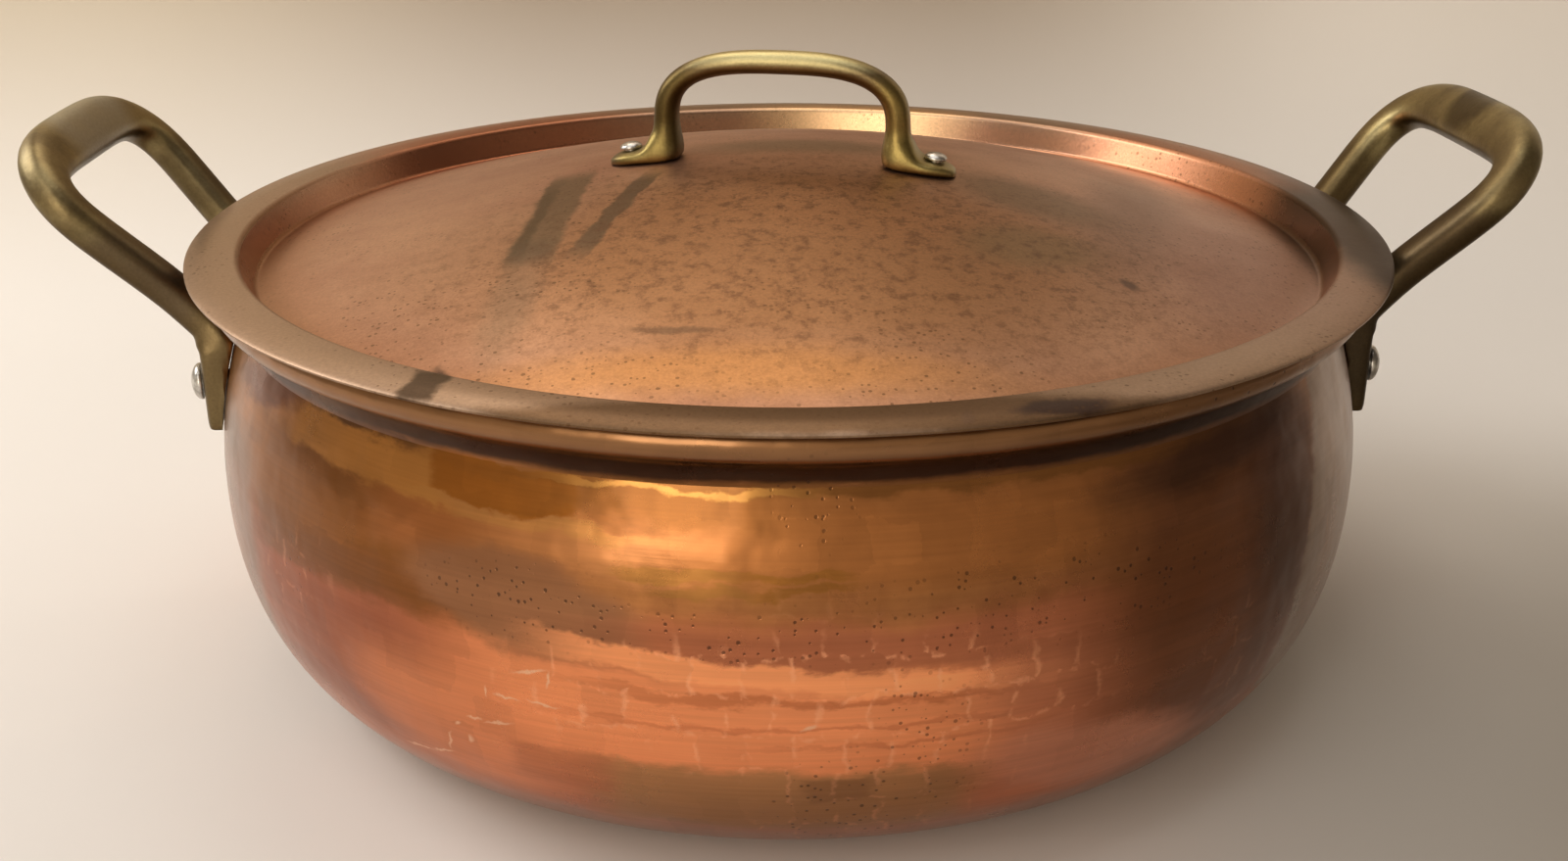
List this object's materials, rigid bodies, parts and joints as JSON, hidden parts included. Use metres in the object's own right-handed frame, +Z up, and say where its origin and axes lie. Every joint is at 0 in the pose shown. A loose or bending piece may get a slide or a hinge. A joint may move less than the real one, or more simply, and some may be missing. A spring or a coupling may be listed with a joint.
{
  "type": "copper casserole with lid",
  "caption": "Low bellied copper casserole with raised brass loop handles, rolled lip and sunk domed lid with a brass bow",
  "frame": {"origin": "middle of the flat base, on the surface that the pot stands on", "axes": "+Z up, +X through the right handle, +Y away from the front"},
  "size_m": [0.3706, 0.2998, 0.1534],
  "materials": {
    "pot_copper": "hand-planished copper, worn and tarnished",
    "lid_copper": "satin copper, stained",
    "tin": "wiped tin",
    "handle_brass": "cast brass, aged satin",
    "rivet_metal": "light polished rivet"
  },
  "bodies": {
    "pot": {"pot_body": "pot_copper", "pot_lining": "tin", "left_handle": "handle_brass", "right_handle": "handle_brass", "rivet_left_front": "rivet_metal", "rivet_left_rear": "rivet_metal", "rivet_right_front": "rivet_metal", "rivet_right_rear": "rivet_metal"},
    "lid": {"lid_shell": "lid_copper", "lid_lining": "tin", "lid_handle": "handle_brass", "lid_rivet_left": "rivet_metal", "lid_rivet_right": "rivet_metal"}
  },
  "joints": [
    {"name": "lid_lift", "type": "slide", "parent": "pot", "child": "lid", "axis": [0, 0, 1], "range_m": [0, 0.12]}
  ]
}
